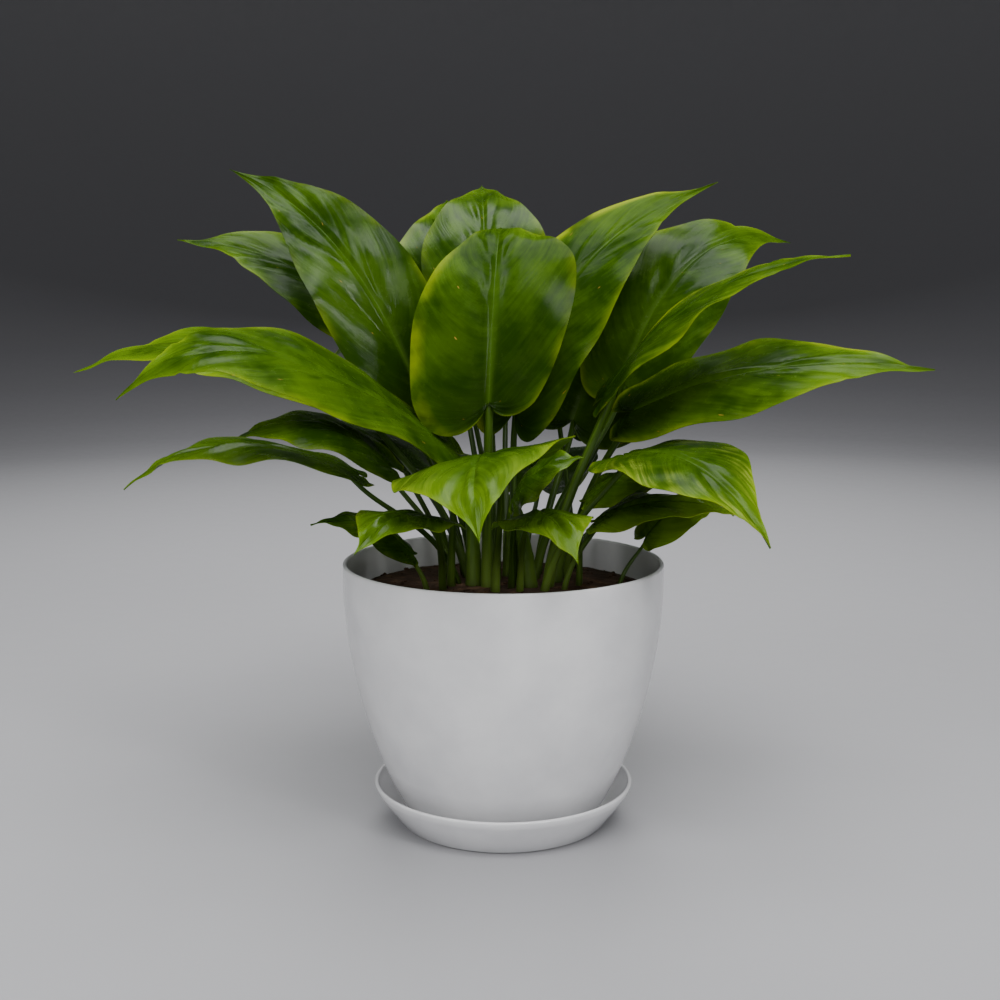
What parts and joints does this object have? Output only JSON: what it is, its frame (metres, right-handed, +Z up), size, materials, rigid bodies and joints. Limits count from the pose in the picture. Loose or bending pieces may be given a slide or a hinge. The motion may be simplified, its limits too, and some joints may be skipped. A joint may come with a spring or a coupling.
{
  "type": "potted golden pothos",
  "caption": "Bushy potted golden pothos: heart-shaped green leaves on upright petioles, in a round white plastic pot that stands on a matching saucer.",
  "frame": {"origin": "middle of the saucer's flat underside, on the axis of the pot", "axes": "+Z up, along the axis of the pot; the plant is seen from -Y, and +X is to the right in that view"},
  "size_m": [0.4231, 0.3364, 0.3282],
  "materials": {
    "white_plastic": "smooth moulded white polypropylene with a soft gloss",
    "potting_soil": "loose moist dark brown potting mix",
    "leaf": "waxy green leaf with lime-yellow margins",
    "stem": "smooth fleshy green stem"
  },
  "bodies": {
    "root": {"saucer": "white_plastic", "pot": "white_plastic", "soil": "potting_soil", "stem_1": "stem", "stem_2": "stem", "stem_3": "stem", "stem_4": "stem", "stem_5": "stem", "stem_6": "stem", "leaf_01": "leaf", "leaf_02": "leaf", "leaf_03": "leaf", "leaf_04": "leaf", "leaf_05": "leaf", "leaf_06": "leaf", "leaf_07": "leaf", "leaf_08": "leaf", "leaf_09": "leaf", "leaf_10": "leaf", "leaf_11": "leaf", "leaf_12": "leaf", "leaf_13": "leaf", "leaf_14": "leaf", "leaf_15": "leaf", "leaf_16": "leaf", "leaf_17": "leaf", "leaf_18": "leaf", "leaf_19": "leaf", "leaf_20": "leaf", "leaf_21": "leaf", "leaf_22": "leaf", "leaf_23": "leaf", "leaf_24": "leaf", "leaf_25": "leaf", "leaf_26": "leaf", "leaf_27": "leaf", "leaf_28": "leaf", "leaf_29": "leaf", "leaf_30": "leaf", "leaf_31": "leaf", "leaf_32": "leaf"}
  },
  "joints": []
}
